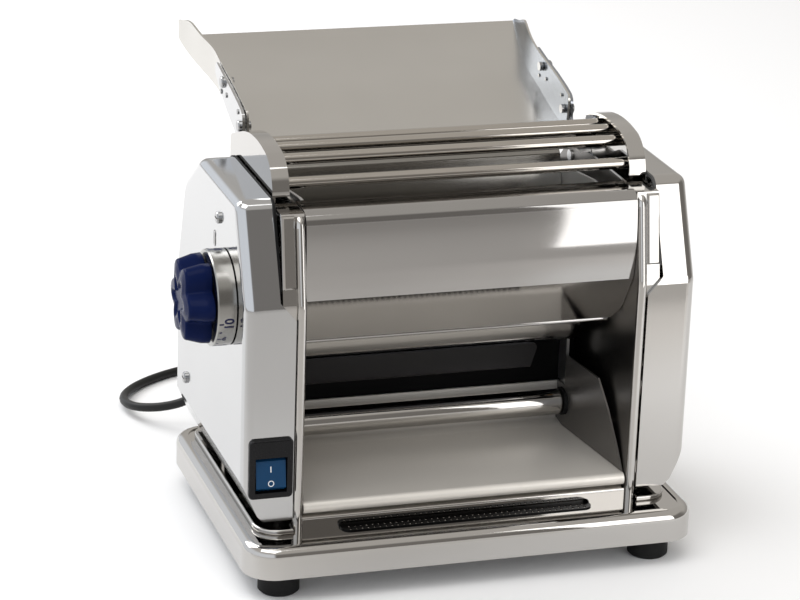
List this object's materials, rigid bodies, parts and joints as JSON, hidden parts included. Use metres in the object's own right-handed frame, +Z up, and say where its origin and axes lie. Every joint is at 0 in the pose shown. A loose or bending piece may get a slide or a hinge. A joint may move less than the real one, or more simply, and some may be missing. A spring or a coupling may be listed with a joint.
{
  "type": "electric pasta maker",
  "caption": "Bench-top electric pasta maker: chromed dough sheeter with a tilting feed tray, guard rods, adjustable motor-driven rollers, thickness dial and rocker switch.",
  "frame": {"origin": "on the bench, below the middle of the machine's overall size with its dial and tray, without the lead", "axes": "+X to the machine's right as seen from its front, -Y out of its front, +Z up"},
  "size_m": [0.3356, 0.4205, 0.3028],
  "materials": {
    "polished_steel": "polished stainless steel",
    "plain_steel": "plain steel",
    "roller_steel": "ground and hard-chromed",
    "scraper_steel": "dark sheet steel",
    "screw_steel": "bright screws",
    "gear_plastic": "natural nylon",
    "pinion_steel": "cut steel",
    "bronze": "sintered bronze",
    "block_steel": "milled steel",
    "black_rubber": "black rubber",
    "dark_plastic": "black moulded plastic",
    "motor_paint": "black enamel",
    "navy_plastic": "navy moulded plastic",
    "collar_steel": "satin with dark numbers",
    "blue_rocker": "deep translucent blue",
    "cord_black": "black mains lead"
  },
  "bodies": {
    "machine": {"right_casing": "polished_steel", "left_casing": "polished_steel", "front_panel": "polished_steel", "base_tray": "polished_steel", "bottom_plate": "polished_steel", "guide_bar": "polished_steel", "chute_plate": "polished_steel", "right_side_frame": "polished_steel", "left_side_frame": "polished_steel", "front_sill": "polished_steel", "tie_rods": "plain_steel", "rear_panel": "plain_steel", "vent_grille": "plain_steel", "casing_standoffs": "plain_steel", "cheek_pegs": "plain_steel", "hinge_pins": "plain_steel", "rear_guide": "plain_steel", "front_guide": "plain_steel", "motor_bracket": "plain_steel", "side_liners": "plain_steel", "block_guides": "plain_steel", "right_cheek": "plain_steel", "left_cheek": "plain_steel", "rear_scraper": "scraper_steel", "front_scraper": "scraper_steel", "foot_screws": "screw_steel", "casing_screws": "screw_steel", "rear_roller_bushes": "bronze", "dial_bush": "bronze", "feet": "black_rubber", "right_edge_seal": "black_rubber", "left_edge_seal": "black_rubber", "guide_bar_caps": "black_rubber", "inner_cover": "dark_plastic", "switch_frame": "dark_plastic", "cable_gland": "dark_plastic", "run_capacitor": "dark_plastic", "gear_motor": "motor_paint", "cord_lead": "cord_black", "cord_coil": "cord_black", "mains_plug": "cord_black"},
    "drive_roller": {"rear_roller": "roller_steel", "rear_roller_gear": "gear_plastic", "drive_gear": "gear_plastic"},
    "carriage": {"bearing_blocks": "block_steel"},
    "idle_roller": {"front_roller": "roller_steel", "front_roller_gear": "gear_plastic"},
    "motor_shaft": {"motor_pinion": "pinion_steel"},
    "dial": {"thickness_knob": "navy_plastic", "dial_collar": "collar_steel", "dial_shaft": "plain_steel", "adjusting_cam": "plain_steel"},
    "hopper": {"right_guard_plate": "polished_steel", "left_guard_plate": "polished_steel", "guard_rods": "polished_steel", "tray_sheet": "polished_steel", "right_tray_bracket": "polished_steel", "left_tray_bracket": "polished_steel", "tray_screws": "screw_steel"},
    "rocker": {"switch_rocker": "blue_rocker"}
  },
  "joints": [
    {"name": "drive_spin", "type": "hinge", "parent": "machine", "child": "drive_roller", "pos_m": [0.0146, -0.0435, 0.148], "axis": [1, 0, 0], "continuous": true},
    {"name": "roller_gap", "type": "slide", "parent": "machine", "child": "carriage", "axis": [0, -0.7683, 0.6401], "range_m": [0, 0.0033]},
    {"name": "idle_spin", "type": "hinge", "parent": "carriage", "child": "idle_roller", "pos_m": [0.0146, -0.08522, 0.18276], "axis": [1, 0, 0], "continuous": true},
    {"name": "motor_spin", "type": "hinge", "parent": "machine", "child": "motor_shaft", "pos_m": [0.1506, -0.00138, 0.11087], "axis": [1, 0, 0], "continuous": true},
    {"name": "dial_turn", "type": "hinge", "parent": "machine", "child": "dial", "pos_m": [-0.1424, -0.08522, 0.18276], "axis": [1, 0, 0], "range_deg": [0, 300]},
    {"name": "hopper_hinge", "type": "hinge", "parent": "machine", "child": "hopper", "pos_m": [0.0146, -0.0015, 0.236], "axis": [-1, 0, 0], "range_deg": [0, 34]},
    {"name": "switch_tip", "type": "hinge", "parent": "machine", "child": "rocker", "pos_m": [-0.1184, -0.1338, 0.079], "axis": [1, 0, 0], "range_deg": [0, 14]}
  ],
  "couplings": [
    {"joint": "idle_spin", "follows": "drive_spin", "ratio": -1},
    {"joint": "motor_spin", "follows": "drive_spin", "ratio": -2.5},
    {"joint": "dial_turn", "follows": "roller_gap", "rad_per_m": 1586.6}
  ]
}
